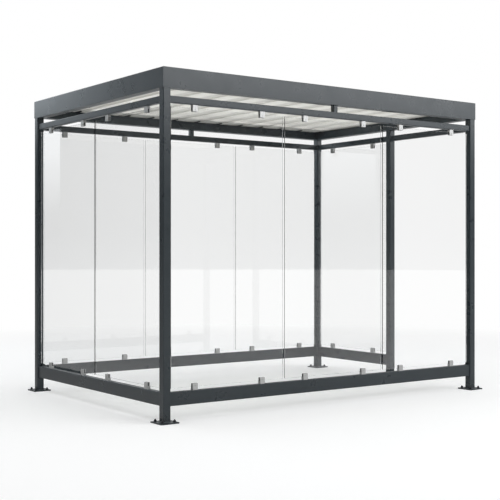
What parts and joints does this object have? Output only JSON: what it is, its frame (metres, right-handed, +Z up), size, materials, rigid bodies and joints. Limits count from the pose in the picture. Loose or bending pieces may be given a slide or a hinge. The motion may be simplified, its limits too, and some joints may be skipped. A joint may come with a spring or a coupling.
{
  "type": "flat-roofed glazed canopy shelter",
  "caption": "Free-standing flat-roofed shelter: a square-tube frame on base plates, clamped glass walls, an open doorway at one end and a ribbed sheet roof behind a folded fascia.",
  "frame": {"origin": "middle of the footprint of the base plates, on the floor", "axes": "+X along the long side towards the end with the doorway, +Y from the front side to the back side, +Z up"},
  "size_m": [3.29, 2.275, 2.527],
  "materials": {
    "clamp_steel": "satin cast clamp, ground on its faces",
    "clear_glass": "clear toughened glass with polished edges",
    "frame_coating": "fine-textured anthracite grey powder coating on steel tube and folded sheet",
    "gasket_rubber": "black rubber liner",
    "roof_coating": "grey-white coil coating on trapezoidal steel sheet"
  },
  "bodies": {
    "root": {"base_plate_back_left": "frame_coating", "base_plate_back_right": "frame_coating", "base_plate_front_left": "frame_coating", "base_plate_front_right": "frame_coating", "door_base_plate": "frame_coating", "door_header": "frame_coating", "door_post": "frame_coating", "fascia_back": "frame_coating", "fascia_front": "frame_coating", "fascia_left": "frame_coating", "fascia_right": "frame_coating", "glass_back_1": "clear_glass", "glass_back_2": "clear_glass", "glass_back_3": "clear_glass", "glass_clamps_back": "clamp_steel", "glass_clamps_front": "clamp_steel", "glass_clamps_left": "clamp_steel", "glass_clamps_right": "clamp_steel", "glass_front_1": "clear_glass", "glass_front_2": "clear_glass", "glass_front_3": "clear_glass", "glass_left_1": "clear_glass", "glass_left_2": "clear_glass", "glass_right_1": "clear_glass", "glazing_gaskets": "gasket_rubber", "lower_rail_back": "frame_coating", "lower_rail_front": "frame_coating", "lower_rail_left": "frame_coating", "lower_rail_right": "frame_coating", "post_back_left": "frame_coating", "post_back_right": "frame_coating", "post_front_left": "frame_coating", "post_front_right": "frame_coating", "rail_cleats": "frame_coating", "roof_beam_back": "frame_coating", "roof_beam_front": "frame_coating", "roof_beam_left": "frame_coating", "roof_beam_right": "frame_coating", "roof_sheet": "roof_coating", "roof_spacer_back": "frame_coating", "roof_spacer_front": "frame_coating", "upper_rail_back": "frame_coating", "upper_rail_front": "frame_coating", "upper_rail_left": "frame_coating", "upper_rail_right": "frame_coating"}
  },
  "joints": []
}
